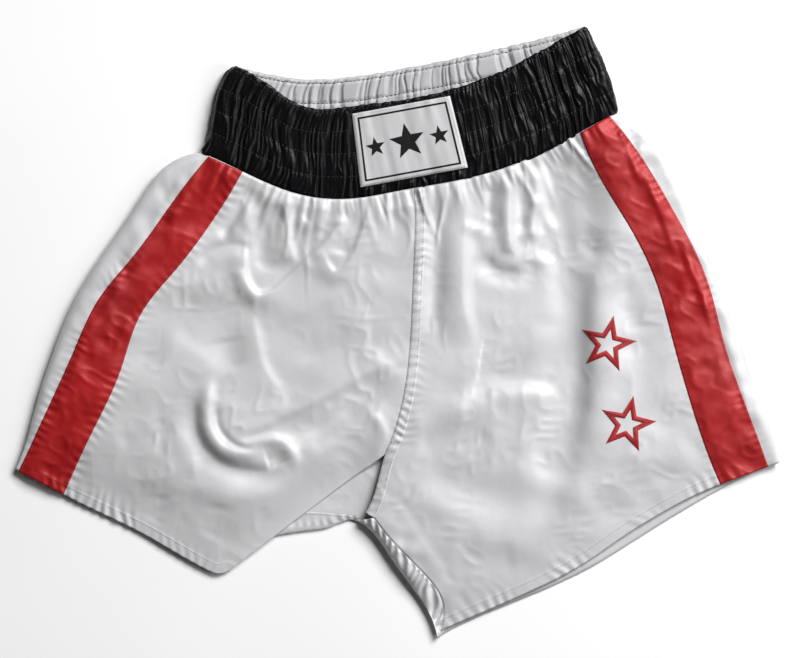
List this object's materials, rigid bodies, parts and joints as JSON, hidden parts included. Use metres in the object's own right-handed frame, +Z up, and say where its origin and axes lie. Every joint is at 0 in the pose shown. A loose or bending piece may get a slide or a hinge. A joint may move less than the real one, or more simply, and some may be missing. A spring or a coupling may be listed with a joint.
{
  "type": "boxing shorts",
  "caption": "White satin boxing shorts with a wide black elastic waistband, red side stripes and two embroidered stars, laid flat.",
  "frame": {"origin": "middle of the shorts' outline on the surface they lie on, under the back", "axes": "+X across the shorts towards the wearer's left leg, +Y towards the waistband, +Z up, out of the front"},
  "size_m": [0.811, 0.647, 0.0184],
  "materials": {
    "black_satin": "ruched satin",
    "white_lining": "satin",
    "elastic": "woven elastic",
    "white_satin": "satin",
    "red_satin": "satin",
    "label_cloth": "woven label",
    "label_print": "woven",
    "red_thread": "satin thread",
    "black_thread": "thread",
    "white_thread": "thread"
  },
  "bodies": {
    "root": {"waistband_shell": "black_satin", "waistband_lining": "white_lining", "waist_elastic_1": "elastic", "waist_elastic_2": "elastic", "waist_elastic_3": "elastic", "waist_elastic_4": "elastic", "front_right_panel": "white_satin", "front_left_panel": "white_satin", "back_right_panel": "white_satin", "back_left_panel": "white_satin", "right_side_stripe": "red_satin", "left_side_stripe": "red_satin", "waist_label": "label_cloth", "label_border": "label_print", "label_emblem": "label_print", "upper_leg_motif": "red_thread", "lower_leg_motif": "red_thread", "right_stripe_stitching": "red_thread", "left_stripe_stitching": "red_thread", "waistband_front_stitching": "black_thread", "waistband_back_stitching": "black_thread", "label_stitching": "white_thread", "right_hem_stitching": "white_thread", "left_hem_stitching": "white_thread", "front_rise_stitching": "white_thread", "back_rise_stitching": "white_thread", "right_inseam_stitching": "white_thread", "left_inseam_stitching": "white_thread"}
  },
  "joints": []
}
